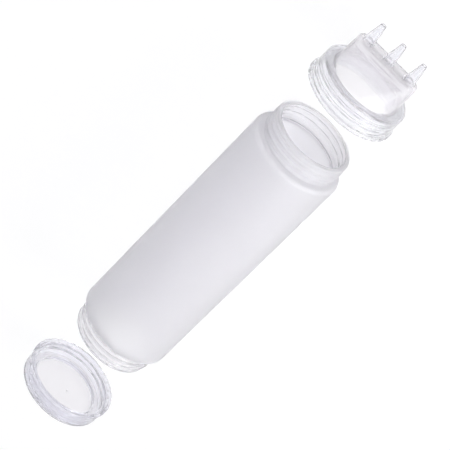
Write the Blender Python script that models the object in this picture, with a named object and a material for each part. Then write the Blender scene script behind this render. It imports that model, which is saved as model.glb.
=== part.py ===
"""Double-ended squeeze bottle for sauce, laid out on a table with both screw caps taken off.

The bottle is a tube with the same threaded neck at each end. The nozzle cap closes one neck and
carries a row of three hollow nozzles on a hip-shaped head. The plain bottom cap closes the other
neck, so that the bottle is filled there and stands on it. Each cap holds a flat ring gasket.
All pieces share one axis along +X, nozzles towards +X. The origin is on the table, under the
middle of the laid-out row. Lengths are metres.
"""
import math

import bmesh
import bpy

MM = 0.001
TURN = 2 * math.pi

# Driving sizes of the bottle
BODY_RADIUS = 35.0 * MM
BODY_LENGTH = 197.6 * MM
BODY_WALL = 1.3 * MM
SHOULDER_ROUND = 3.4 * MM
SHOULDER_FALL = 0.9 * MM
NECK_HEIGHT = 15.5 * MM
NECK_RADIUS = 29.0 * MM
NECK_WALL = 2.8 * MM
NECK_FILLET = 1.0 * MM
LIP_BEAD = 0.8 * MM
LIP_HEIGHT = 2.2 * MM

# Sizes that both caps share; the thread's ridges stand in the play between neck and cap
THREAD_PLAY = 2.5 * MM
CAP_WALL = 1.3 * MM
CAP_ROOF = 1.8 * MM
GRIP_WIDTH = 1.5 * MM
GRIP_COUNT = 28
GRIP_DEPTH = 0.6 * MM
GRIP_SLOPE = 0.7 * MM
CAP_EDGE_ROUND = 1.3 * MM
RIM_ROUND = 0.5 * MM
PLUG_CLEARANCE = 0.5 * MM
PLUG_WALL = 1.3 * MM
PLUG_TAPER = 0.3 * MM

# Nozzle cap; its head is round at the foot and narrows to a long plate with round ends
NOZZLE_SKIRT_HEIGHT = 16.7 * MM
NOZZLE_GRIP_HEIGHT = 3.3 * MM
NOZZLE_PLUG_HEIGHT = 7.0 * MM
HEAD_SPREAD = 0.3 * MM
HEAD_DRAFT = 0.7 * MM
HEAD_HEIGHT = 22.0 * MM
HEAD_WALL = 1.4 * MM
HEAD_FOOT = 1.4 * MM
PLATE_HALF_WIDTH = 8.5 * MM
PLATE_BAND = 5.0 * MM
PLATE_ROUND = 1.5 * MM

# Nozzles
NOZZLE_COUNT = 3
NOZZLE_END_MARGIN = 8.1 * MM
NOZZLE_HEIGHT = 15.2 * MM
NOZZLE_TIP_RADIUS = 1.9 * MM
NOZZLE_NECK_RADIUS = 3.9 * MM
NOZZLE_FLARE_RADIUS = 4.9 * MM
NOZZLE_FLARE_HEIGHT = 1.7 * MM
NOZZLE_TIP_BORE_RADIUS = 1.1 * MM
NOZZLE_ROOT_BORE_RADIUS = 2.7 * MM

# Bottom cap
BOTTOM_CAP_HEIGHT = 14.0 * MM
BOTTOM_GRIP_HEIGHT = 3.0 * MM
BOTTOM_PLUG_HEIGHT = 3.5 * MM

# Gaskets
GASKET_THICKNESS = 1.2 * MM
GASKET_WIDTH = 3.6 * MM

# Layout of the taken-apart bottle
NOZZLE_CAP_GAP = 36.9 * MM
BOTTOM_CAP_GAP = 49.4 * MM

# Working clearances and cuts
SEAT_GAP = 0.3 * MM
OVERRUN = 1.0 * MM

# Facets
BODY_SEGMENTS = 56
CAP_SEGMENTS = 3 * GRIP_COUNT
GASKET_SEGMENTS = 42
NOZZLE_SEGMENTS = 20
ARC_STEPS = 3
CURVE_ANGLE = math.radians(30)

# Sizes that follow from the ones above
NECK_BORE_RADIUS = NECK_RADIUS - NECK_WALL
CAP_BORE_RADIUS = NECK_RADIUS + THREAD_PLAY
SKIRT_RADIUS = CAP_BORE_RADIUS + CAP_WALL
GRIP_RADIUS = SKIRT_RADIUS + GRIP_WIDTH
PLUG_RADIUS = NECK_BORE_RADIUS - PLUG_CLEARANCE
GASKET_INNER_RADIUS = PLUG_RADIUS + SEAT_GAP
HEAD_RADIUS = PLUG_RADIUS + HEAD_SPREAD
PLATE_HALF_LENGTH = HEAD_RADIUS - HEAD_DRAFT
NOZZLE_SPACING = (HEAD_RADIUS - NOZZLE_END_MARGIN) * 2 / (NOZZLE_COUNT - 1)
BOTTLE_LENGTH = BODY_LENGTH + 2 * NECK_HEIGHT
NOZZLE_CAP_LENGTH = NOZZLE_SKIRT_HEIGHT + HEAD_HEIGHT + NOZZLE_HEIGHT
ROW_LENGTH = BOTTOM_CAP_HEIGHT + BOTTOM_CAP_GAP + BOTTLE_LENGTH + NOZZLE_CAP_GAP + NOZZLE_CAP_LENGTH
AXIS_HEIGHT = BODY_RADIUS * math.cos(math.pi / BODY_SEGMENTS)

# Stations along the row
BOTTOM_CAP_END_X = -ROW_LENGTH / 2
BOTTOM_CAP_RIM_X = BOTTOM_CAP_END_X + BOTTOM_CAP_HEIGHT
BOTTLE_MIDDLE_X = BOTTOM_CAP_RIM_X + BOTTOM_CAP_GAP + BOTTLE_LENGTH / 2
NOZZLE_CAP_RIM_X = BOTTLE_MIDDLE_X + BOTTLE_LENGTH / 2 + NOZZLE_CAP_GAP


def clear_scene():
    for item in list(bpy.data.objects):
        bpy.data.objects.remove(item, do_unlink=True)


def make_material(name, color, roughness, alpha):
    material = bpy.data.materials.new(name)
    material.use_nodes = True
    shader = material.node_tree.nodes["Principled BSDF"]
    shader.inputs["Base Color"].default_value = (*color, 1.0)
    shader.inputs["Roughness"].default_value = roughness
    shader.inputs["Metallic"].default_value = 0.0
    shader.inputs["Alpha"].default_value = alpha
    return material


def arc(center, radii, start, end, steps=ARC_STEPS):
    """Points of an elliptic arc in the profile plane, both ends included; angles in degrees."""
    points = []
    for step in range(steps + 1):
        angle = math.radians(start + (end - start) * step / steps)
        points.append((center[0] + radii[0] * math.cos(angle), center[1] + radii[1] * math.sin(angle)))
    return points


def round_ring(station, radius, segments):
    """Corners of a polygon about the X axis, one flat side down."""
    ring = []
    for index in range(segments):
        angle = TURN * (index + 0.5) / segments - TURN / 4
        ring.append((station, radius * math.cos(angle), radius * math.sin(angle)))
    return ring


def notched_ring(station, radius, depth, segments):
    """A round ring whose every third corner is drawn in, which makes the finger grips."""
    ring = []
    for index, (x, y, z) in enumerate(round_ring(station, radius, segments)):
        share = (radius - depth) / radius if index % 3 == 0 else 1.0
        ring.append((x, y * share, z * share))
    return ring


def stadium_ring(station, half_length, half_width, segments):
    """Two half circles, drawn apart along Y until the ring is twice half_length long."""
    ring = []
    for x, y, z in round_ring(station, half_width, segments):
        ring.append((x, y + math.copysign(half_length - half_width, y), z))
    return ring


def skin_rings(rings, closed):
    """One closed mesh through the rings in turn: a loop of rings, or a run with both ends filled."""
    mesh = bmesh.new()
    rows = [[mesh.verts.new(point) for point in ring] for ring in rings]
    pairs = list(zip(rows, rows[1:]))
    if closed:
        pairs.append((rows[-1], rows[0]))
    else:
        mesh.faces.new(rows[0])
        mesh.faces.new(rows[-1])
    for lower, upper in pairs:
        count = len(lower)
        for index in range(count):
            after = (index + 1) % count
            mesh.faces.new((lower[index], lower[after], upper[after], upper[index]))
    bmesh.ops.recalc_face_normals(mesh, faces=mesh.faces)
    return mesh


def turned_rings(profile, segments):
    return [round_ring(station, radius, segments) for station, radius in profile]


def mirrored(profile):
    """A profile followed by its mirror image about station 0."""
    return profile + [(-station, radius) for station, radius in reversed(profile)]


def add_object(name, mesh, location, material=None):
    data = bpy.data.meshes.new(name)
    mesh.to_mesh(data)
    mesh.free()
    data.shade_smooth()
    data.set_sharp_from_angle(angle=CURVE_ANGLE)
    item = bpy.data.objects.new(name, data)
    item.location = location
    if material:
        data.materials.append(material)
    bpy.context.scene.collection.objects.link(item)
    return item


def add_tool(name, mesh, location):
    """A solid that only shapes another one."""
    tool = add_object(name, mesh, location)
    tool.hide_render = True
    tool.display_type = "WIRE"
    return tool


def add_boolean(target, tool, operation):
    modifier = target.modifiers.new(tool.name, "BOOLEAN")
    modifier.operation = operation
    modifier.solver = "EXACT"
    modifier.object = tool


def bottle_half_outside():
    """Outer profile from the lip to the middle of the body, station 0 at the bottle's middle."""
    lip = BOTTLE_LENGTH / 2
    shoulder = BODY_LENGTH / 2
    bead_radius = NECK_RADIUS + LIP_BEAD
    lip_round = LIP_HEIGHT / 2
    corner = (shoulder - SHOULDER_FALL - SHOULDER_ROUND, BODY_RADIUS - SHOULDER_ROUND)
    points = arc((lip - lip_round, bead_radius - lip_round), (lip_round, lip_round), 0, 90)
    points.append((lip - LIP_HEIGHT, NECK_RADIUS))
    points.append((shoulder + NECK_FILLET, NECK_RADIUS))
    points.append((shoulder, NECK_RADIUS + NECK_FILLET))
    points += arc(corner, (SHOULDER_ROUND, SHOULDER_ROUND), 0, 90, ARC_STEPS + 1)
    return points


def bottle_half_inside():
    """Inner profile from the lip to the middle of the body."""
    lip = BOTTLE_LENGTH / 2
    shoulder = BODY_LENGTH / 2 - BODY_WALL
    inner_round = SHOULDER_ROUND - BODY_WALL
    corner = (shoulder - SHOULDER_FALL - inner_round, BODY_RADIUS - BODY_WALL - inner_round)
    lip_round = RIM_ROUND
    points = [(lip, NECK_BORE_RADIUS + lip_round), (lip - lip_round, NECK_BORE_RADIUS)]
    points.append((shoulder, NECK_BORE_RADIUS))
    points += arc(corner, (inner_round, inner_round), 0, 90)
    return points


def make_bottle_body(material):
    outside = mirrored(bottle_half_outside())
    inside = mirrored(bottle_half_inside())
    rings = turned_rings(outside + inside[::-1], BODY_SEGMENTS)
    location = (BOTTLE_MIDDLE_X, 0, AXIS_HEIGHT)
    return add_object("bottle_body", skin_rings(rings, closed=True), location, material)


def skirt_outside(height, grip_height):
    """Rings of a cap's outside, from the roof's edge down to the open rim at station 0."""
    edge = arc((height - CAP_EDGE_ROUND, SKIRT_RADIUS - CAP_EDGE_ROUND),
               (CAP_EDGE_ROUND, CAP_EDGE_ROUND), 0, 90)
    rings = turned_rings(edge, CAP_SEGMENTS)
    rings.append(round_ring(grip_height, SKIRT_RADIUS, CAP_SEGMENTS))
    top = grip_height - GRIP_SLOPE
    rings.append(notched_ring(top, GRIP_RADIUS, GRIP_DEPTH, CAP_SEGMENTS))
    rings.append(notched_ring(RIM_ROUND, GRIP_RADIUS, GRIP_DEPTH, CAP_SEGMENTS))
    rings.append(notched_ring(0, GRIP_RADIUS - RIM_ROUND, GRIP_DEPTH, CAP_SEGMENTS))
    return rings


def skirt_inside(height, plug_height):
    """Rings of a cap's inside, from the open rim at station 0 to the foot of the plug."""
    roof = height - CAP_ROOF
    profile = [(0, CAP_BORE_RADIUS + RIM_ROUND), (RIM_ROUND, CAP_BORE_RADIUS), (roof, CAP_BORE_RADIUS)]
    profile += [(roof, PLUG_RADIUS), (roof - plug_height, PLUG_RADIUS - PLUG_TAPER)]
    profile.append((roof - plug_height, PLUG_RADIUS - PLUG_WALL))
    return turned_rings(profile, CAP_SEGMENTS)


def head_outside():
    """Rings of the head's outside, from the edge of its plate down to the cap's roof."""
    foot = NOZZLE_SKIRT_HEIGHT
    plate = foot + HEAD_HEIGHT
    length, width = PLATE_HALF_LENGTH, PLATE_HALF_WIDTH
    rings = []
    for station, reach in arc((plate - PLATE_ROUND, -PLATE_ROUND), (PLATE_ROUND, PLATE_ROUND), 0, 90):
        rings.append(stadium_ring(station, length + reach, width + reach, CAP_SEGMENTS))
    rings.append(stadium_ring(plate - PLATE_BAND, length, width, CAP_SEGMENTS))
    rings.append(round_ring(foot + HEAD_FOOT, HEAD_RADIUS, CAP_SEGMENTS))
    rings.append(round_ring(foot, HEAD_RADIUS + HEAD_FOOT / 2, CAP_SEGMENTS))
    return rings


def head_inside():
    """Rings of the head's hollow, from the cap's roof up to the underside of the plate."""
    foot = NOZZLE_SKIRT_HEIGHT
    plate = foot + HEAD_HEIGHT
    slope = math.atan2(HEAD_RADIUS - PLATE_HALF_WIDTH, HEAD_HEIGHT - PLATE_BAND - HEAD_FOOT)
    drop = HEAD_WALL * math.tan(slope / 2)
    length, width = PLATE_HALF_LENGTH - HEAD_WALL, PLATE_HALF_WIDTH - HEAD_WALL
    return [round_ring(foot - CAP_ROOF, HEAD_RADIUS - HEAD_WALL, CAP_SEGMENTS),
            round_ring(foot + HEAD_FOOT - drop, HEAD_RADIUS - HEAD_WALL, CAP_SEGMENTS),
            stadium_ring(plate - PLATE_BAND - drop, length, width, CAP_SEGMENTS),
            stadium_ring(plate - HEAD_WALL, length, width, CAP_SEGMENTS)]


def nozzle_places():
    middle = (NOZZLE_COUNT - 1) / 2
    return [(index - middle) * NOZZLE_SPACING for index in range(NOZZLE_COUNT)]


def turned_group(profile, offsets):
    """The same solid of revolution set at each offset along Y."""
    group = bmesh.new()
    for offset in offsets:
        single = skin_rings(turned_rings(profile, NOZZLE_SEGMENTS), closed=False)
        bmesh.ops.translate(single, verts=single.verts, vec=(0, offset, 0))
        data = bpy.data.meshes.new("single")
        single.to_mesh(data)
        single.free()
        group.from_mesh(data)
        bpy.data.meshes.remove(data)
    return group


def nozzle_profile():
    plate = NOZZLE_SKIRT_HEIGHT + HEAD_HEIGHT
    tip = plate + NOZZLE_HEIGHT
    tip_round = (NOZZLE_TIP_RADIUS - NOZZLE_TIP_BORE_RADIUS) / 2
    profile = [(plate - HEAD_WALL / 2, NOZZLE_FLARE_RADIUS)]
    flare = (NOZZLE_FLARE_HEIGHT, NOZZLE_FLARE_RADIUS - NOZZLE_NECK_RADIUS)
    profile += arc((plate + NOZZLE_FLARE_HEIGHT, NOZZLE_FLARE_RADIUS), flare, 180, 270)
    profile.append((tip - tip_round, NOZZLE_TIP_RADIUS))
    profile.append((tip, NOZZLE_TIP_RADIUS - tip_round))
    return profile


def nozzle_bore_profile():
    plate = NOZZLE_SKIRT_HEIGHT + HEAD_HEIGHT
    tip = plate + NOZZLE_HEIGHT
    inside = plate - HEAD_WALL
    return [(inside - OVERRUN, NOZZLE_ROOT_BORE_RADIUS), (plate, NOZZLE_ROOT_BORE_RADIUS),
            (tip, NOZZLE_TIP_BORE_RADIUS), (tip + OVERRUN, NOZZLE_TIP_BORE_RADIUS)]


def make_nozzle_cap(material):
    location = (NOZZLE_CAP_RIM_X, 0, AXIS_HEIGHT)
    rings = head_outside()
    rings += skirt_outside(NOZZLE_SKIRT_HEIGHT, NOZZLE_GRIP_HEIGHT)
    rings += skirt_inside(NOZZLE_SKIRT_HEIGHT, NOZZLE_PLUG_HEIGHT)
    rings += head_inside()
    cap = add_object("nozzle_cap", skin_rings(rings, closed=False), location, material)
    stock = add_tool("nozzle_stock", turned_group(nozzle_profile(), nozzle_places()), location)
    bores = add_tool("nozzle_bores", turned_group(nozzle_bore_profile(), nozzle_places()), location)
    add_boolean(cap, stock, "UNION")
    add_boolean(cap, bores, "DIFFERENCE")
    return cap


def make_bottom_cap(material):
    rings = skirt_outside(BOTTOM_CAP_HEIGHT, BOTTOM_GRIP_HEIGHT)
    rings += skirt_inside(BOTTOM_CAP_HEIGHT, BOTTOM_PLUG_HEIGHT)
    floor = BOTTOM_CAP_HEIGHT - CAP_ROOF
    rings.append(round_ring(floor, PLUG_RADIUS - PLUG_WALL, CAP_SEGMENTS))
    mesh = skin_rings(rings, closed=False)
    for vertex in mesh.verts:
        vertex.co.x = -vertex.co.x
    bmesh.ops.reverse_faces(mesh, faces=mesh.faces)
    location = (BOTTOM_CAP_RIM_X, 0, AXIS_HEIGHT)
    return add_object("bottom_cap", mesh, location, material)


def make_gasket(name, location, material):
    half = GASKET_THICKNESS / 2
    outer = GASKET_INNER_RADIUS + GASKET_WIDTH
    profile = [(-half, GASKET_INNER_RADIUS), (half, GASKET_INNER_RADIUS), (half, outer), (-half, outer)]
    mesh = skin_rings(turned_rings(profile, GASKET_SEGMENTS), closed=True)
    return add_object(name, mesh, location, material)


def gasket_depth(cap_height):
    """Distance from a cap's rim to the middle of the gasket that lies under its roof."""
    return cap_height - CAP_ROOF - SEAT_GAP - GASKET_THICKNESS / 2


def main():
    clear_scene()
    squeeze_plastic = make_material("squeeze_plastic", (0.83, 0.83, 0.87), 0.42, 0.75)
    cap_plastic = make_material("cap_plastic", (0.80, 0.81, 0.87), 0.18, 0.55)
    seal_silicone = make_material("seal_silicone", (0.88, 0.87, 0.88), 0.5, 0.9)
    make_bottle_body(squeeze_plastic)
    make_nozzle_cap(cap_plastic)
    make_bottom_cap(cap_plastic)
    nozzle_seat = NOZZLE_CAP_RIM_X + gasket_depth(NOZZLE_SKIRT_HEIGHT)
    bottom_seat = BOTTOM_CAP_RIM_X - gasket_depth(BOTTOM_CAP_HEIGHT)
    make_gasket("nozzle_gasket", (nozzle_seat, 0, AXIS_HEIGHT), seal_silicone)
    make_gasket("bottom_gasket", (bottom_seat, 0, AXIS_HEIGHT), seal_silicone)


main()
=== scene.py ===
"""Looks of the double-ended squeeze bottle: fine meshes, plastics, floor, light and camera.

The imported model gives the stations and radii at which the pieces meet, and every fine piece
stands in the place of one plain solid. All lengths are metres, and the pieces' common axis
runs along +X at AXIS_Z above the floor. A depth counts from a lip or rim, and a station is a
place along X.
"""
import math

import bmesh
import bpy
import numpy as np
from mathutils import Matrix, Vector


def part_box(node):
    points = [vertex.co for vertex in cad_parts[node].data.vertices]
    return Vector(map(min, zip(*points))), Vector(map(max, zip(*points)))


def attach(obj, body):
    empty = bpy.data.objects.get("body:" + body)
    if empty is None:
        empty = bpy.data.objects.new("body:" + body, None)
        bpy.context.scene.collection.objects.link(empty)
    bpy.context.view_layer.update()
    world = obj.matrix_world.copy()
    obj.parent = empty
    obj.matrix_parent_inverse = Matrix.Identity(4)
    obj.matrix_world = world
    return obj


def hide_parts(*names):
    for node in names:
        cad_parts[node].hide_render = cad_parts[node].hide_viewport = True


MM = 0.001
TURN = 2 * math.pi

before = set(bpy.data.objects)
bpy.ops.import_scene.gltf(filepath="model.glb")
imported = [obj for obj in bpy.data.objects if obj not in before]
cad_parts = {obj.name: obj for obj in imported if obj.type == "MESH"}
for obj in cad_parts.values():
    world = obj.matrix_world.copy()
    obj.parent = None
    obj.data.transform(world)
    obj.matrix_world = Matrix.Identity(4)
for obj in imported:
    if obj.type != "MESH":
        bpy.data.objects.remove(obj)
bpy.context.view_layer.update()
BOTTLE_LOW, BOTTLE_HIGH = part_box("bottle_body")
NOZZLE_LOW, NOZZLE_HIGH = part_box("nozzle_cap")
BOTTOM_LOW, BOTTOM_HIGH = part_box("bottom_cap")

# Bottle, from the frame and from the same sizes as the solids
AXIS_Z = (BOTTLE_LOW.z + BOTTLE_HIGH.z) / 2
BODY_RADIUS = (BOTTLE_HIGH.z - BOTTLE_LOW.z) / 2
BODY_WALL = 1.3 * MM
SHOULDER_ROUND = 3.4 * MM
SHOULDER_FALL = 0.9 * MM
NECK_HEIGHT = 15.5 * MM
NECK_RADIUS = 29.0 * MM
NECK_FILLET = 0.9 * MM
NECK_BORE_RADIUS = 26.2 * MM
NECK_BORE_FILLET = 0.8 * MM
LIP_HEIGHT = 2.2 * MM
LIP_BEAD = 0.8 * MM
LIP_FOOT_FILLET = 0.3 * MM
LIP_BEAD_ROUND = 0.4 * MM
LIP_OUTER_ROUND = 0.9 * MM
LIP_INNER_ROUND = 0.7 * MM
GLOSSY_NECK_MARGIN = 1.0 * MM

# Thread on necks and in caps: its ridge, the stations where it crosses the top of the axis, which
# in the caps are only roughly so and are brought into mesh, and the turns it runs from there
PITCH = 4.4 * MM
NECK_RIDGE = 1.8 * MM
UPPER_NECK_RIDGE = 1.1 * MM
CAP_RIDGE = 1.6 * MM
RIDGE_HALF_WIDTH = 1.35 * MM
RIDGE_CREST_SHARE = 0.32
RIDGE_FADE_TURNS = 0.09
BORE_WAVE_SHARE = 0.15
UPPER_NECK_CREST = BOTTLE_HIGH.x - 2.9 * MM
LOWER_NECK_CREST = BOTTLE_LOW.x + 4.0 * MM
NOZZLE_CAP_CREST = NOZZLE_LOW.x + 1.5 * MM
BOTTOM_CAP_CREST = BOTTOM_HIGH.x - 2.5 * MM
UPPER_NECK_TURNS = (-2.35, 0.12)
LOWER_NECK_TURNS = (-0.30, 2.15)
NOZZLE_CAP_TURNS = (0.1, 2.6)
BOTTOM_CAP_TURNS = (-2.1, 0.2)

# Skirts of both caps
CAP_BORE_RADIUS = 31.5 * MM
CAP_WALL = 1.3 * MM
CAP_ROOF = 1.8 * MM
CAP_EDGE_ROUND = 1.3 * MM
CAP_CORNER_FILLET = 0.5 * MM
CAP_RIM_FADE = 0.8 * MM
CAP_ROOF_FADE = 0.6 * MM
GRIP_RADIUS = (NOZZLE_HIGH.y - NOZZLE_LOW.y) / 2
GRIP_COUNT = 28
GRIP_DEPTH = 0.45 * MM
GRIP_SHARPNESS = 5
GRIP_OVERLAP = 0.2 * MM
GRIP_FADE = 0.5 * MM
FLANGE_FALL = 0.6 * MM
FLANGE_FILLET = 0.35 * MM
FLANGE_ROUND = 0.4 * MM
RIM_OUTER_ROUND = 0.45 * MM
RIM_INNER_ROUND = 0.4 * MM
PLUG_RADIUS = 25.7 * MM
PLUG_WALL = 1.3 * MM
PLUG_TAPER = 0.3 * MM
PLUG_FILLET = 0.3 * MM
PLUG_END_ROUND = 0.35 * MM

# Heights of each cap's skirt and plug
NOZZLE_SKIRT_HEIGHT = 16.7 * MM
NOZZLE_GRIP_HEIGHT = 3.3 * MM
NOZZLE_PLUG_HEIGHT = 7.0 * MM
BOTTOM_SKIRT_HEIGHT = BOTTOM_HIGH.x - BOTTOM_LOW.x
BOTTOM_GRIP_HEIGHT = 3.0 * MM
BOTTOM_PLUG_HEIGHT = 3.5 * MM

# Base of the bottom cap, and the gate mark in its inside
BASE_MARGIN = 0.2 * MM
BASE_CENTRE_SHARE = 0.03
BASE_OUTSIDE_ROWS = 18
BASE_OUTSIDE_EDGE_SHARE = 0.96
BASE_INSIDE_ROWS = 34
BASE_INSIDE_EDGE_SHARE = 0.985
GATE_RADIUS = 0.9 * MM
GATE_DEPTH = 0.65 * MM
GATE_OFFSET = -4.0 * MM
GATE_FADE_SHARE = 1.4

# Head of the nozzle cap
HEAD_RADIUS = 26.0 * MM
HEAD_HEIGHT = 22.0 * MM
HEAD_WALL = 1.4 * MM
HEAD_FOOT = 1.4 * MM
HEAD_FOOT_FILLET = 0.8 * MM
HEAD_MARGIN = 0.4 * MM
HIP_ROUND = 3.0 * MM
PLATE_HALF_LENGTH = 25.3 * MM
PLATE_HALF_WIDTH = 8.5 * MM
PLATE_BAND = 5.0 * MM
PLATE_ROUND = 3.0 * MM
PLATE_INNER_ROUND = 0.4 * MM
PLATE_CENTRE_SHARE = 0.05
PLATE_MARGIN = 0.3 * MM
CREASE_DEPTH = 1.0 * MM
CREASE_HEIGHT = 1.2 * MM
CREASE_EDGE_ROUND = 0.5 * MM
CREASE_BOTTOM_ROUND = 0.2 * MM

# Nozzles
NOZZLE_COUNT = 3
NOZZLE_SPACING = 17.9 * MM
NOZZLE_HEIGHT = 15.2 * MM
NOZZLE_SEAT_HEIGHT = 0.15 * MM
NOZZLE_SEAT_ROUND = 0.1 * MM
NOZZLE_FLARE_RADIUS = 4.9 * MM
NOZZLE_FLARE_HEIGHT = 1.7 * MM
NOZZLE_FLARE_FILLET = 2.2 * MM
NOZZLE_NECK_RADIUS = 3.9 * MM
NOZZLE_TIP_RADIUS = 1.9 * MM
NOZZLE_TIP_ROUND = 0.25 * MM
NOZZLE_TIP_BORE_RADIUS = 1.1 * MM
NOZZLE_ROOT_BORE_RADIUS = 2.7 * MM
NOZZLE_ROOT_BORE_HEIGHT = 0.6 * MM
NOZZLE_ROOT_BORE_FLARE = 0.5 * MM
TOOL_CORE_RADIUS = 0.3 * MM
TOOL_OVERRUN = 1.0 * MM

# Gaskets
GASKET_OUTER_PLAY = 0.05 * MM
GASKET_INNER_PLAY = 0.3 * MM
GASKET_ROUND = 0.35 * MM
GASKET_SEAM = 0.1 * MM

# Mesh fineness
BOTTLE_COLUMNS = 240
CAP_COLUMNS = GRIP_COUNT * 10
NOZZLE_COLUMNS = 48
GASKET_COLUMNS = 160
THREAD_STEP = 0.33 * MM
HEAD_STEP = 0.8 * MM
SKIRT_STEP = 1.2 * MM
PLAIN_STEP = 8.0 * MM
ARC_STEPS = 7
STRAIGHT_HALF_ANGLE = 0.49 * math.pi
LONGEST_REACH_SHARE = 0.49
SHARP_ANGLE = math.radians(38)
NOZZLE_SHARP_ANGLE = math.radians(32)

# Plastics: the clouding of their colour, the spread of their gloss, and their grain
CLOUDING = 0.03
CLOUD_SCALE = 45.0
CLOUD_DETAIL = 3.0
GLOSS_SPREAD = 0.15
GRAIN_DETAIL = 2.0
GRAIN_STRENGTH = 0.5

# Floor: its own grey, and the grey and the glow of what the camera sees of it
FLOOR_HALF = 6.0
FLOOR_DROP = 0.2 * MM
FLOOR_GREY = (0.80, 0.80, 0.80, 1)
FLOOR_SEEN_GREY = (0.25, 0.25, 0.255, 1)
FLOOR_GLOW = 0.80

# Surroundings: the sky goes from its shade to its light towards the lit side
WHITE = (1, 1, 1, 1)
SKY_SHADE = (0.45, 0.45, 0.50, 1)
SKY_LIGHT = (1.0, 1.0, 1.0, 1)
SKY_STRENGTH = 0.70
SKY_TURN_FROM = -0.6
SKY_TURN_TO = 0.8
LIT_SIDE = (0.5, -0.65, 0.55)

# Lamps: name, place, aim, size and watts; the strip's reflection is the bright wedge on the head
LAMPS = [
    ("key", (0.25, -1.15, 0.65), (0, 0, 0), (0.42, 0.5), 6.8),
    ("fill", (0.1, 0.95, 1.05), (0, 0, 0), (0.9, 0.9), 2.1),
    ("strip", (0.77, -0.51, 0.44), (0.16, 0, 0.035), (0.84, 0.14), 1.2),
]

# Camera: fitted to the photograph, which is 450 pixels square
PHOTO_PIXELS = 450
FOCAL_PIXELS = 2200
SENSOR_MM = 36.0
CAMERA_TILT = math.radians(32)
CAMERA_ROLL = math.radians(45)
CAMERA_DISTANCE = 1475 * MM
AIM_FROM_UPPER_LIP = 96.3 * MM
NEAREST_SEEN = 0.05
FARTHEST_SEEN = 50.0


def smooth_step(value):
    value = np.clip(value, 0.0, 1.0)
    return value * value * (3 - 2 * value)


def rounded_path(corners):
    """Points through (station, radius, rounding) corners, each corner turned on its own arc."""
    points = [np.array(corners[0][:2], float)]
    for before, here, after in zip(corners, corners[1:], corners[2:]):
        corner = np.array(here[:2], float)
        back = np.array(before[:2], float) - corner
        ahead = np.array(after[:2], float) - corner
        back_length, ahead_length = np.linalg.norm(back), np.linalg.norm(ahead)
        back, ahead = back / back_length, ahead / ahead_length
        half = math.acos(float(np.clip(back @ ahead, -1, 1))) / 2
        if here[2] == 0 or half > STRAIGHT_HALF_ANGLE:
            points.append(corner)
            continue
        longest = LONGEST_REACH_SHARE * min(back_length, ahead_length)
        reach = min(here[2] / math.tan(half), longest)
        rounding = reach * math.tan(half)
        middle = corner + (back + ahead) / np.linalg.norm(back + ahead) * rounding / math.sin(half)
        start = corner + back * reach - middle
        end = corner + ahead * reach - middle
        sweep = math.pi - 2 * half
        for step in range(ARC_STEPS + 1):
            share = step / ARC_STEPS
            weight_start = math.sin((1 - share) * sweep) / math.sin(sweep)
            weight_end = math.sin(share * sweep) / math.sin(sweep)
            points.append(middle + start * weight_start + end * weight_end)
    points.append(np.array(corners[-1][:2], float))
    return np.array(points)


def placed(corners, base, sign):
    """Corners given by their depth, set on the axis: from base towards -X for a sign of -1."""
    return [(base + sign * depth, radius, rounding) for depth, radius, rounding in corners]


def subdivided(path, step):
    """The same path with no stretch longer than step."""
    points = [path[0]]
    for start, end in zip(path, path[1:]):
        count = max(1, math.ceil(np.linalg.norm(end - start) / step))
        for index in range(1, count + 1):
            points.append(start + (end - start) * index / count)
    return np.array(points)


def column_angles(columns):
    return TURN * (np.arange(columns) + 0.5) / columns


def spun(path, columns, radius_change=None):
    """A grid of points: the path turned about the axis, with an optional change of radius."""
    angle = column_angles(columns)[None, :]
    station = path[:, 0][:, None] + 0 * angle
    radius = path[:, 1][:, None] + 0 * angle
    if radius_change is not None:
        radius = radius + radius_change(station, angle, radius)
    return np.stack([station, radius * np.cos(angle), AXIS_Z + radius * np.sin(angle)], axis=-1)


def disc_path(station, radius, first_share, last_share, rows):
    """The rows of a flat disc across the axis, from one share of its radius to another."""
    return np.array([(station, share * radius) for share in np.linspace(first_share, last_share, rows)])


def grid_mesh(name, grid, closed):
    """A mesh through the grid's rows: a loop of rows, or a run whose ends are closed by a point."""
    rows, columns = grid.shape[:2]
    vertices = grid.reshape(-1, 3).tolist()
    faces = []
    for row in range(rows if closed else rows - 1):
        above = (row + 1) % rows
        for column in range(columns):
            beside = (column + 1) % columns
            faces.append((row * columns + column, row * columns + beside,
                          above * columns + beside, above * columns + column))
    if not closed:
        for row, flip in ((0, True), (rows - 1, False)):
            vertices.append(grid[row].mean(axis=0).tolist())
            for column in range(columns):
                beside = (column + 1) % columns
                rim = (row * columns + column, row * columns + beside)
                faces.append((len(vertices) - 1, *(rim[::-1] if flip else rim)))
    mesh = bpy.data.meshes.new(name)
    mesh.from_pydata(vertices, [], faces)
    work = bmesh.new()
    work.from_mesh(mesh)
    bmesh.ops.recalc_face_normals(work, faces=work.faces)
    if work.calc_volume(signed=True) < 0:
        bmesh.ops.reverse_faces(work, faces=work.faces)
    work.to_mesh(mesh)
    work.free()
    return mesh


def soften(mesh, sharp_angle):
    """Smooth shading, but sharp along edges that turn by more than sharp_angle."""
    mesh.shade_smooth()
    mesh.set_sharp_from_angle(angle=sharp_angle)


def add_object(name, mesh):
    made = bpy.data.objects.new(name, mesh)
    bpy.context.scene.collection.objects.link(made)
    return made


def add_piece(name, grid, closed, materials):
    mesh = grid_mesh(name, grid, closed)
    soften(mesh, SHARP_ANGLE)
    for material in materials:
        mesh.materials.append(material)
    return add_object(name, mesh)


def mark_faces(mesh, index, is_marked):
    """Gives the faces whose centre is_marked accepts the material of that index."""
    for face in mesh.polygons:
        if is_marked(face.center):
            face.material_index = index


def axis_distance(point):
    return math.hypot(point.y, point.z - AXIS_Z)


def seat_piece(piece, node, body):
    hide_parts(node)
    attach(piece, body)


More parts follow.
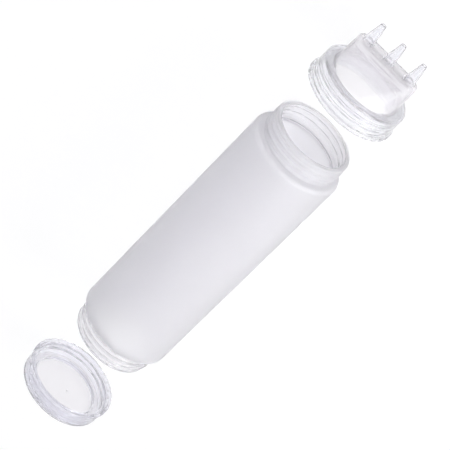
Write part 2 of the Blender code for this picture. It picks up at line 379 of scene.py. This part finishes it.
def helix_ridge(station, angle, crest, turns_range):
    """Height share of a right-hand thread ridge that crosses the top of the axis at crest.

    It runs between the first and the last turn of turns_range, counted from that crossing."""
    first_turn, last_turn = turns_range
    share = np.zeros_like(station)
    part = np.mod((angle - TURN / 4) / TURN, 1.0)
    for whole in range(math.floor(first_turn) - 1, math.ceil(last_turn) + 1):
        turns = part + whole
        away = np.abs(station - (crest + PITCH * turns)) / RIDGE_HALF_WIDTH
        ridge = smooth_step((1 - away) / (1 - RIDGE_CREST_SHARE))
        ends = smooth_step((turns - first_turn) / RIDGE_FADE_TURNS)
        ends = ends * smooth_step((last_turn - turns) / RIDGE_FADE_TURNS)
        share = np.maximum(share, ridge * ends)
    return share


def meshing_crest(neck_crest, near):
    """Where the groove of the neck's helix crosses the top of the axis, at the turn nearest to near."""
    groove = neck_crest + PITCH / 2
    return groove + PITCH * round((near - groove) / PITCH)


def bottle_ridges(station, angle):
    upper = helix_ridge(station, angle, UPPER_NECK_CREST, UPPER_NECK_TURNS)
    lower = helix_ridge(station, angle, LOWER_NECK_CREST, LOWER_NECK_TURNS)
    return np.maximum(upper, lower)


def bottle_outside_change(station, angle, radius):
    height = np.where(station > 0, UPPER_NECK_RIDGE, NECK_RIDGE)
    return height * bottle_ridges(station, angle)


def bottle_inside_change(station, angle, radius):
    return BORE_WAVE_SHARE * NECK_RIDGE * bottle_ridges(station, angle)


def bottle_outside_corners():
    """Corners of one end of the bottle's outside, from the body to the lip, by depth from the lip."""
    bead_radius = NECK_RADIUS + LIP_BEAD
    return [(NECK_HEIGHT + SHOULDER_FALL, BODY_RADIUS, SHOULDER_ROUND),
            (NECK_HEIGHT, NECK_RADIUS, NECK_FILLET),
            (LIP_HEIGHT, NECK_RADIUS, LIP_FOOT_FILLET),
            (LIP_HEIGHT - LIP_BEAD / 2, bead_radius, LIP_BEAD_ROUND),
            (0, bead_radius, LIP_OUTER_ROUND)]


def bottle_inside_corners():
    """Corners of one end of the bottle's inside, from the body to the lip, by depth from the lip."""
    shoulder = NECK_HEIGHT + BODY_WALL
    return [(shoulder + SHOULDER_FALL, BODY_RADIUS - BODY_WALL, SHOULDER_ROUND - BODY_WALL),
            (shoulder, NECK_BORE_RADIUS, NECK_BORE_FILLET),
            (0, NECK_BORE_RADIUS, LIP_INNER_ROUND)]


def bottle_grid(path, radius_change):
    """The bottle's path turned about its axis, with fine rows on the necks and long ones between."""
    coarse = subdivided(path, PLAIN_STEP)
    parts = []
    for start, end in zip(coarse, coarse[1:]):
        middle = (start[0] + end[0]) / 2
        in_neck = min(BOTTLE_HIGH.x - middle, middle - BOTTLE_LOW.x) < NECK_HEIGHT
        parts.append(subdivided(np.array([start, end]), THREAD_STEP if in_neck else PLAIN_STEP)[:-1])
    parts.append(coarse[-1:])
    return spun(np.concatenate(parts), BOTTLE_COLUMNS, radius_change)


def is_glossy_neck(centre):
    """True on the whole lower neck and in the bore of the upper one."""
    glossy_height = NECK_HEIGHT - GLOSSY_NECK_MARGIN
    in_bore = axis_distance(centre) < NECK_BORE_RADIUS + GLOSSY_NECK_MARGIN
    in_upper_bore = BOTTLE_HIGH.x - centre.x < glossy_height and in_bore
    return centre.x - BOTTLE_LOW.x < glossy_height or in_upper_bore


def make_bottle(frosted, glossy):
    lip_middle = (NECK_BORE_RADIUS + NECK_RADIUS + LIP_BEAD) / 2
    upper_lip = (BOTTLE_HIGH.x, lip_middle, 0)
    lower_lip = (BOTTLE_LOW.x, lip_middle, 0)
    upper_outside = placed(bottle_outside_corners(), BOTTLE_HIGH.x, -1)
    lower_outside = placed(bottle_outside_corners(), BOTTLE_LOW.x, 1)
    upper_inside = placed(bottle_inside_corners(), BOTTLE_HIGH.x, -1)
    lower_inside = placed(bottle_inside_corners(), BOTTLE_LOW.x, 1)
    outside = rounded_path([lower_lip] + lower_outside[::-1] + upper_outside + [upper_lip])
    inside = rounded_path([upper_lip] + upper_inside[::-1] + lower_inside + [lower_lip])
    grid = np.concatenate([bottle_grid(outside, bottle_outside_change),
                           bottle_grid(inside[1:-1], bottle_inside_change)])
    piece = add_piece("squeeze_bottle", grid, True, [frosted, glossy])
    mark_faces(piece.data, 1, is_glossy_neck)
    seat_piece(piece, "bottle_body", "bottle")


def grip_change(rim, sign, grip_height):
    """The change of radius that cuts the finger notches into a cap's flange."""
    def change(station, angle, radius):
        depth = sign * (station - rim)
        wave = ((1 + np.cos(GRIP_COUNT * angle)) / 2) ** GRIP_SHARPNESS
        flange = smooth_step((grip_height + GRIP_OVERLAP - depth) / GRIP_FADE)
        return -GRIP_DEPTH * wave * flange
    return change


def cap_thread_change(rim, sign, roof, crest, turns_range):
    """The change of radius that raises the thread in a cap's bore, but not on its plug."""
    def change(station, angle, radius):
        depth = sign * (station - rim)
        ridge = helix_ridge(station, angle, crest, turns_range)
        kept = smooth_step((roof - CAP_ROOF_FADE - depth) / CAP_ROOF_FADE)
        kept = kept * smooth_step(depth / CAP_RIM_FADE)
        return np.where(radius > (PLUG_RADIUS + CAP_BORE_RADIUS) / 2, -CAP_RIDGE * ridge * kept, 0.0)
    return change


def skirt_outside_corners(height, grip_height):
    """Corners from the roof's edge to the middle of the rim, by depth from the rim."""
    skirt = CAP_BORE_RADIUS + CAP_WALL
    return [(height, skirt - 2 * CAP_EDGE_ROUND, 0), (height, skirt, CAP_EDGE_ROUND),
            (grip_height, skirt, FLANGE_FILLET), (grip_height - FLANGE_FALL, GRIP_RADIUS, FLANGE_ROUND),
            (0, GRIP_RADIUS, RIM_OUTER_ROUND), (0, (CAP_BORE_RADIUS + GRIP_RADIUS) / 2, 0)]


def skirt_inside_corners(roof, plug_height):
    """Corners from the middle of the rim to the inner foot of the plug, by depth from the rim."""
    plug_end, plug_inside = roof - plug_height, PLUG_RADIUS - PLUG_WALL
    return [(0, (CAP_BORE_RADIUS + GRIP_RADIUS) / 2, 0), (0, CAP_BORE_RADIUS, RIM_INNER_ROUND),
            (roof, CAP_BORE_RADIUS, CAP_CORNER_FILLET), (roof, PLUG_RADIUS, PLUG_FILLET),
            (plug_end, PLUG_RADIUS - PLUG_TAPER, PLUG_END_ROUND),
            (plug_end, plug_inside, PLUG_END_ROUND), (roof, plug_inside, 0)]


def skirt_grid(rim, sign, height, grip_height, plug_height, crest, turns_range):
    """Rows of a cap's skirt and plug, from the roof's edge round the rim to the plug's inner foot."""
    roof = height - CAP_ROOF
    outside = rounded_path(placed(skirt_outside_corners(height, grip_height), rim, sign))
    inside = rounded_path(placed(skirt_inside_corners(roof, plug_height), rim, sign))
    thread = cap_thread_change(rim, sign, roof, crest, turns_range)
    return np.concatenate([
        spun(subdivided(outside, SKIRT_STEP), CAP_COLUMNS, grip_change(rim, sign, grip_height)),
        spun(subdivided(inside, THREAD_STEP)[1:], CAP_COLUMNS, thread)])


def head_grid(inset, plate, foot):
    """Rows of the head from the middle of its plate down to the roof, drawn in by inset."""
    slope = math.atan2(HEAD_RADIUS - PLATE_HALF_WIDTH, HEAD_HEIGHT - PLATE_BAND - HEAD_FOOT)
    drop = inset * math.tan(slope / 2)
    width, radius = PLATE_HALF_WIDTH - inset, HEAD_RADIUS - inset
    length = PLATE_HALF_LENGTH - inset
    top = plate - inset
    crease = plate - PLATE_BAND - drop
    corners = [(top, PLATE_CENTRE_SHARE * width, 0),
               (top, width, max(PLATE_ROUND - inset, PLATE_INNER_ROUND))]
    if inset:
        corners += [(crease, width, HIP_ROUND), (foot + HEAD_FOOT - drop, radius, HIP_ROUND),
                    (foot - CAP_ROOF, radius, 0)]
    else:
        corners += [(crease + CREASE_HEIGHT, width, CREASE_EDGE_ROUND),
                    (crease, width - CREASE_DEPTH, CREASE_BOTTOM_ROUND),
                    (foot + HEAD_FOOT, radius, HEAD_FOOT_FILLET), (foot, radius + HEAD_FOOT / 2, 0)]
    angle = column_angles(CAP_COLUMNS)
    rows = []
    for station, half_width in subdivided(rounded_path(corners), HEAD_STEP):
        if half_width <= width:
            half_length = length - (width - half_width) * (station > crease + CREASE_HEIGHT)
        else:
            share = min(1.0, (half_width - width) / (radius - width))
            half_length = length + (radius - length) * share + max(0.0, half_width - radius)
        across = half_width * np.cos(angle) + np.sign(np.cos(angle)) * (half_length - half_width)
        up = half_width * np.sin(angle)
        rows.append(np.stack([np.full_like(angle, station), across, AXIS_Z + up], axis=-1))
    return np.array(rows)


def nozzle_tool(name, path):
    """The same closed solid of revolution at each nozzle's place along Y, as one object."""
    work = bmesh.new()
    for index in range(NOZZLE_COUNT):
        grid = spun(path, NOZZLE_COLUMNS)
        grid[..., 1] += (index - (NOZZLE_COUNT - 1) / 2) * NOZZLE_SPACING
        single = grid_mesh(name, grid, closed=False)
        work.from_mesh(single)
        bpy.data.meshes.remove(single)
    mesh = bpy.data.meshes.new(name)
    work.to_mesh(mesh)
    work.free()
    return add_object(name, mesh)


def carve(piece, tool, operation):
    """Applies one exact Boolean and deletes the tool."""
    modifier = piece.modifiers.new(tool.name, "BOOLEAN")
    modifier.operation = operation
    modifier.solver = "EXACT"
    modifier.object = tool
    bpy.context.view_layer.update()
    graph = bpy.context.evaluated_depsgraph_get()
    made = bpy.data.meshes.new_from_object(piece.evaluated_get(graph))
    piece.modifiers.clear()
    piece.data = made
    bpy.data.objects.remove(tool, do_unlink=True)


def nozzle_path(plate):
    """The nozzle's outside, from inside the plate to its tip."""
    base, tip = plate - HEAD_WALL / 2, plate + NOZZLE_HEIGHT
    return rounded_path([
        (base, TOOL_CORE_RADIUS, 0), (base, NOZZLE_FLARE_RADIUS, 0),
        (plate + NOZZLE_SEAT_HEIGHT, NOZZLE_FLARE_RADIUS, NOZZLE_SEAT_ROUND),
        (plate + NOZZLE_FLARE_HEIGHT, NOZZLE_NECK_RADIUS, NOZZLE_FLARE_FILLET),
        (tip, NOZZLE_TIP_RADIUS, NOZZLE_TIP_ROUND), (tip, TOOL_CORE_RADIUS, 0)])


def nozzle_bore_path(plate):
    """The nozzle's bore, from the hollow of the head to past its tip."""
    inside, tip = plate - HEAD_WALL, plate + NOZZLE_HEIGHT
    return np.array([
        (inside - TOOL_OVERRUN, TOOL_CORE_RADIUS),
        (inside - TOOL_OVERRUN, NOZZLE_ROOT_BORE_RADIUS + NOZZLE_ROOT_BORE_FLARE),
        (inside + NOZZLE_ROOT_BORE_HEIGHT, NOZZLE_ROOT_BORE_RADIUS),
        (tip, NOZZLE_TIP_BORE_RADIUS), (tip + TOOL_OVERRUN, NOZZLE_TIP_BORE_RADIUS),
        (tip + TOOL_OVERRUN, TOOL_CORE_RADIUS)])


def make_nozzle_cap(clear, milky, glassy):
    """Clear skirt, milky head and what lies inside its radius, glassy nozzles."""
    foot = NOZZLE_LOW.x + NOZZLE_SKIRT_HEIGHT
    plate = foot + HEAD_HEIGHT
    skirt = skirt_grid(NOZZLE_LOW.x, 1, NOZZLE_SKIRT_HEIGHT, NOZZLE_GRIP_HEIGHT, NOZZLE_PLUG_HEIGHT,
                       meshing_crest(UPPER_NECK_CREST, NOZZLE_CAP_CREST), NOZZLE_CAP_TURNS)
    grid = np.concatenate([head_grid(0.0, plate, foot), skirt, head_grid(HEAD_WALL, plate, foot)[::-1]])
    piece = add_piece("nozzle_cap_shell", grid, False, [clear, milky, glassy])
    carve(piece, nozzle_tool("nozzle_stock", nozzle_path(plate)), "UNION")
    carve(piece, nozzle_tool("nozzle_bore", nozzle_bore_path(plate)), "DIFFERENCE")
    soften(piece.data, NOZZLE_SHARP_ANGLE)
    mark_faces(piece.data, 1, lambda centre: axis_distance(centre) < HEAD_RADIUS + HEAD_MARGIN)
    mark_faces(piece.data, 2, lambda centre: centre.x > plate + PLATE_MARGIN)
    seat_piece(piece, "nozzle_cap", "nozzle_cap")


def is_base(centre):
    """True on the base of the bottom cap, inside and outside, as far out as its plug."""
    near_end = centre.x - BOTTOM_LOW.x < CAP_ROOF + BASE_MARGIN
    return near_end and axis_distance(centre) < PLUG_RADIUS - PLUG_WALL / 2


def make_bottom_cap(shaded_clear, milky):
    """Skirt in a darker, bluer copy of the clear plastic, which is painted shade, and milky base, with a
    dimple for the gate mark.
    """
    skirt = skirt_grid(BOTTOM_HIGH.x, -1, BOTTOM_SKIRT_HEIGHT, BOTTOM_GRIP_HEIGHT, BOTTOM_PLUG_HEIGHT,
                       meshing_crest(LOWER_NECK_CREST, BOTTOM_CAP_CREST), BOTTOM_CAP_TURNS)
    outside = disc_path(BOTTOM_LOW.x, CAP_BORE_RADIUS + CAP_WALL - 2 * CAP_EDGE_ROUND,
                        BASE_CENTRE_SHARE, BASE_OUTSIDE_EDGE_SHARE, BASE_OUTSIDE_ROWS)
    inside = disc_path(BOTTOM_LOW.x + CAP_ROOF, PLUG_RADIUS - PLUG_WALL,
                       BASE_INSIDE_EDGE_SHARE, BASE_CENTRE_SHARE, BASE_INSIDE_ROWS)
    inside_grid = spun(inside, CAP_COLUMNS)
    away = np.hypot(inside_grid[..., 1] - GATE_OFFSET, inside_grid[..., 2] - AXIS_Z)
    inside_grid[..., 0] -= GATE_DEPTH * smooth_step(GATE_FADE_SHARE - away / GATE_RADIUS)
    grid = np.concatenate([spun(outside, CAP_COLUMNS), skirt, inside_grid])
    # The skirt takes the darker copy of the clear plastic, which paints shade on it
    piece = add_piece("bottom_cap_shell", grid, False, [shaded_clear, milky])
    mark_faces(piece.data, 1, is_base)
    seat_piece(piece, "bottom_cap", "bottom_cap")


def make_gasket(name, node, body, material):
    low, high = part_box(node)
    outer = (high.y - low.y) / 2 - GASKET_OUTER_PLAY
    inner = PLUG_RADIUS + GASKET_INNER_PLAY
    middle = (outer + inner) / 2
    path = rounded_path([(low.x, middle, 0), (low.x, outer, GASKET_ROUND), (high.x, outer, GASKET_ROUND),
                         (high.x, inner, GASKET_ROUND), (low.x, inner, GASKET_ROUND),
                         (low.x, middle - GASKET_SEAM, 0)])
    piece = add_piece(name, spun(path, GASKET_COLUMNS), True, [material])
    seat_piece(piece, node, body)


def fill_inputs(tree, node, inputs):
    """Sets each input of a shader node to its value, or links it to its value where that is a socket."""
    for key, value in inputs.items():
        if isinstance(value, bpy.types.NodeSocket):
            tree.links.new(value, node.inputs[key])
        else:
            node.inputs[key].default_value = value


def add_node(tree, kind, inputs, **settings):
    node = tree.nodes.new("ShaderNode" + kind)
    for key, value in settings.items():
        setattr(node, key, value)
    fill_inputs(tree, node, inputs)
    return node


def plastic(name, color, roughness, passing, grain_scale, grain_height, values):
    """A moulded plastic: a faint clouding of its colour, uneven gloss and a fine grain.

    Passing is the share of the lamps' light that each of its faces lets through."""
    material = bpy.data.materials.new(name)
    material.use_nodes = True
    tree = material.node_tree
    shader = tree.nodes["Principled BSDF"]
    place = add_node(tree, "TexCoord", {}).outputs["Object"]
    clouds = add_node(tree, "TexNoise", {"Scale": CLOUD_SCALE, "Detail": CLOUD_DETAIL, "Vector": place})
    cloud = clouds.outputs["Fac"]
    clouded = [channel * (1 - CLOUDING) for channel in color]
    tint = add_node(tree, "Mix", {"Factor": cloud, "A": (*color, 1), "B": (*clouded, 1)},
                    data_type="RGBA")
    gloss = add_node(tree, "MapRange", {"Value": cloud, "To Min": roughness * (1 - GLOSS_SPREAD),
                                        "To Max": roughness * (1 + GLOSS_SPREAD)})
    grain = add_node(tree, "TexNoise", {"Scale": grain_scale, "Detail": GRAIN_DETAIL, "Vector": place})
    bump = add_node(tree, "Bump", {"Strength": GRAIN_STRENGTH, "Distance": grain_height,
                                   "Height": grain.outputs["Fac"]})
    fill_inputs(tree, shader, {"Base Color": tint.outputs["Result"], "Roughness": gloss.outputs["Result"],
                               "Normal": bump.outputs["Normal"], **values})
    lit_through = add_node(tree, "BsdfTransparent", {"Color": (*color, 1)})
    shadow_ray = add_node(tree, "LightPath", {}).outputs["Is Shadow Ray"]
    passed = add_node(tree, "Math", {0: shadow_ray, 1: passing}, operation="MULTIPLY")
    mix = add_node(tree, "MixShader", {"Fac": passed.outputs[0], 1: shader.outputs[0],
                                       2: lit_through.outputs[0]})
    fill_inputs(tree, tree.nodes["Material Output"], {"Surface": mix.outputs[0]})
    return material


def larger(tree, first, second):
    return add_node(tree, "Math", {0: first, 1: second}, operation="MAXIMUM").outputs[0]


def white_rays(tree):
    """1 for the rays that should find a white background: camera, mirror and transmitted ones."""
    rays = add_node(tree, "LightPath", {}).outputs
    seen = larger(tree, rays["Is Camera Ray"], rays["Is Glossy Ray"])
    return larger(tree, seen, rays["Is Transmission Ray"])


def make_floor():
    """A pale floor that shows white and keeps a soft shadow of the object."""
    mesh = bpy.data.meshes.new("floor")
    corners = [(x, y, 0) for x, y in ((-1, -1), (1, -1), (1, 1), (-1, 1))]
    mesh.from_pydata([Vector(corner) * FLOOR_HALF for corner in corners], [], [(0, 1, 2, 3)])
    floor = add_object("floor", mesh)
    floor.location.z = -FLOOR_DROP
    material = bpy.data.materials.new("floor_white")
    material.use_nodes = True
    tree = material.node_tree
    tree.nodes.clear()
    matt = add_node(tree, "BsdfDiffuse", {"Color": FLOOR_GREY})
    seen_matt = add_node(tree, "BsdfDiffuse", {"Color": FLOOR_SEEN_GREY})
    glow = add_node(tree, "Emission", {"Color": WHITE, "Strength": FLOOR_GLOW})
    seen = add_node(tree, "AddShader", {0: seen_matt.outputs[0], 1: glow.outputs[0]})
    mix = add_node(tree, "MixShader", {"Fac": white_rays(tree), 1: matt.outputs[0], 2: seen.outputs[0]})
    add_node(tree, "OutputMaterial", {"Surface": mix.outputs[0]})
    mesh.materials.append(material)


def make_world():
    """Soft studio surroundings: white behind, and else brighter on the lit side than opposite."""
    world = bpy.data.worlds.new("studio")
    bpy.context.scene.world = world
    world.use_nodes = True
    tree = world.node_tree
    tree.nodes.clear()
    place = add_node(tree, "TexCoord", {}).outputs["Generated"]
    facing = add_node(tree, "VectorMath", {0: place, 1: Vector(LIT_SIDE).normalized()},
                      operation="DOT_PRODUCT")
    ramp = add_node(tree, "MapRange", {"Value": facing.outputs["Value"], "From Min": SKY_TURN_FROM,
                                       "From Max": SKY_TURN_TO})
    shade = add_node(tree, "Mix", {"Factor": ramp.outputs["Result"], "A": SKY_SHADE, "B": SKY_LIGHT},
                     data_type="RGBA")
    sky = add_node(tree, "Background", {"Color": shade.outputs["Result"], "Strength": SKY_STRENGTH})
    white = add_node(tree, "Background", {"Color": WHITE})
    mix = add_node(tree, "MixShader", {"Fac": white_rays(tree), 1: sky.outputs[0], 2: white.outputs[0]})
    add_node(tree, "OutputWorld", {"Surface": mix.outputs[0]})


def add_lamp(name, place, aim, size, power):
    data = bpy.data.lights.new(name, "AREA")
    data.shape = "RECTANGLE"
    data.size, data.size_y = size
    data.energy = power
    lamp = add_object(name, data)
    lamp.location = place
    lamp.rotation_euler = (Vector(aim) - Vector(place)).to_track_quat("-Z", "Y").to_euler()


def make_camera():
    """The photograph's camera, tilted off the upright and rolled, so that the row runs diagonally."""
    data = bpy.data.cameras.new("photo_camera")
    data.sensor_width = SENSOR_MM
    data.lens = SENSOR_MM * FOCAL_PIXELS / PHOTO_PIXELS
    data.clip_start = NEAREST_SEEN
    data.clip_end = FARTHEST_SEEN
    camera = add_object("photo_camera", data)
    back = Vector((math.sin(CAMERA_TILT), 0, math.cos(CAMERA_TILT)))
    along = Vector((math.cos(CAMERA_TILT), 0, -math.sin(CAMERA_TILT)))
    across = Vector((0, -1, 0))
    right = along * math.sin(CAMERA_ROLL) + across * math.cos(CAMERA_ROLL)
    up = along * math.cos(CAMERA_ROLL) - across * math.sin(CAMERA_ROLL)
    aim = Vector((BOTTLE_HIGH.x - AIM_FROM_UPPER_LIP, 0, AXIS_Z))
    turned = Matrix((right, up, back)).transposed().to_4x4()
    camera.matrix_world = Matrix.Translation(aim + back * CAMERA_DISTANCE) @ turned
    bpy.context.scene.camera = camera


make_camera()

# Frosted polyethylene of the bottle: light spreads inside its wall
squeeze = plastic("squeeze_plastic", color=(0.91, 0.905, 0.927), roughness=0.38, passing=0.93,
                  grain_scale=900.0, grain_height=0.03 * MM,
                  values={"Transmission Weight": 0.66, "IOR": 1.4, "Subsurface Weight": 1.0,
                          "Subsurface Radius": (1, 1, 1), "Subsurface Scale": 4.0 * MM})

# The same polyethylene on the lower neck and in the upper one's bore, where it shows glossier
neck = plastic("neck_plastic", color=(0.905, 0.9, 0.92), roughness=0.22, passing=0.85,
               grain_scale=900.0, grain_height=0.02 * MM,
               values={"Transmission Weight": 0.8, "IOR": 1.39})

# Clear skirt of the nozzle cap, and for the bottom cap's skirt a darker, bluer copy of the same clear
# plastic: painted shade
clear = plastic("clear_plastic", color=(0.94, 0.94, 0.965), roughness=0.2, passing=0.9,
                grain_scale=300.0, grain_height=0.01 * MM,
                values={"Transmission Weight": 0.91, "IOR": 1.38})
# Same clear plastic made darker and bluer: painted shade on the bottom cap's skirt
shaded_clear = plastic("shaded_clear_plastic", color=(0.9, 0.898, 0.94), roughness=0.2, passing=0.9,
                 grain_scale=300.0, grain_height=0.01 * MM,
                 values={"Transmission Weight": 0.9, "IOR": 1.43})

# Milky head of the nozzle cap and base of the bottom cap
milky = plastic("milky_plastic", color=(0.945, 0.935, 0.955), roughness=0.16, passing=0.75,
                grain_scale=400.0, grain_height=0.02 * MM,
                values={"Transmission Weight": 0.83, "IOR": 1.37, "Specular IOR Level": 1.0})

# Glassy nozzles
glassy = plastic("glassy_plastic", color=(0.94, 0.94, 0.965), roughness=0.12, passing=0.9,
                 grain_scale=400.0, grain_height=0.01 * MM,
                 values={"Transmission Weight": 0.93, "IOR": 1.47})

# Silicone of both gaskets
silicone = plastic("seal_silicone", color=(0.97, 0.965, 0.97), roughness=0.23, passing=0.9,
                   grain_scale=600.0, grain_height=0.02 * MM,
                   values={"Transmission Weight": 0.9, "IOR": 1.3})

make_bottle(squeeze, neck)
make_nozzle_cap(clear, milky, glassy)
make_bottom_cap(shaded_clear, milky)
make_gasket("nozzle_seal_ring", "nozzle_gasket", "nozzle_seal", silicone)
make_gasket("bottom_seal_ring", "bottom_gasket", "bottom_seal", silicone)
make_floor()
make_world()
for lamp in LAMPS:
    add_lamp(*lamp)
bpy.context.scene.view_settings.view_transform = "Standard"
